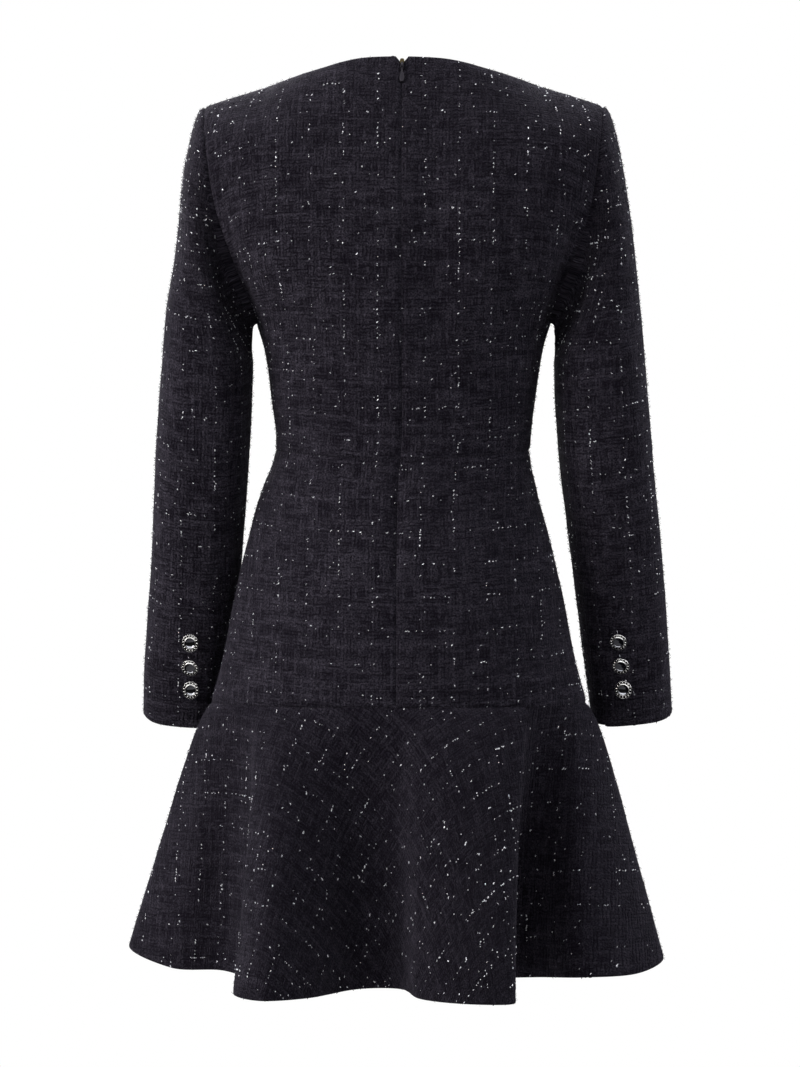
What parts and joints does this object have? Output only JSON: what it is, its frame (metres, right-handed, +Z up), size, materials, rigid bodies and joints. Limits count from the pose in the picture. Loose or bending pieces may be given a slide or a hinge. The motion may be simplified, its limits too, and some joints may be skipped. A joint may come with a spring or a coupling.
{
  "type": "fit and flare dress",
  "caption": "Long-sleeved knee-baring dress in slubbed tweed: fitted bodice and skirt, wide boat neck, circular flounce, back zip and buttoned cuffs.",
  "frame": {"origin": "midway between the two points where the neckline meets the shoulder seams, where the dress hangs from the wearer's shoulders", "axes": "+Z up along the dress, +Y towards the back of the dress, +X towards the wearer's left"},
  "size_m": [0.5203, 0.4199, 0.8645],
  "materials": {
    "tweed": "black slubbed tweed with a fine silver thread",
    "button_metal": "silver rim with a beaded edge round a dark polished dish",
    "zip_metal": "black lacquered",
    "zip_tape": "black woven tape"
  },
  "bodies": {
    "dress": {"bodice_front": "tweed", "bodice_back_left": "tweed", "bodice_back_right": "tweed", "skirt_front": "tweed", "skirt_back_left": "tweed", "skirt_back_right": "tweed", "flounce_front": "tweed", "flounce_back": "tweed", "sleeve_upper_left": "tweed", "sleeve_under_left": "tweed", "sleeve_upper_right": "tweed", "sleeve_under_right": "tweed", "button_left_1": "button_metal", "button_left_2": "button_metal", "button_left_3": "button_metal", "button_right_1": "button_metal", "button_right_2": "button_metal", "button_right_3": "button_metal", "zip_tape": "zip_tape", "zip_slider": "zip_metal"},
    "pull": {"zip_pull": "zip_metal"}
  },
  "joints": [
    {"name": "pull_swing", "type": "hinge", "parent": "dress", "child": "pull", "pos_m": [0, 0.06931, 0.01064], "axis": [1, 0, 0], "range_deg": [0, 150]}
  ]
}
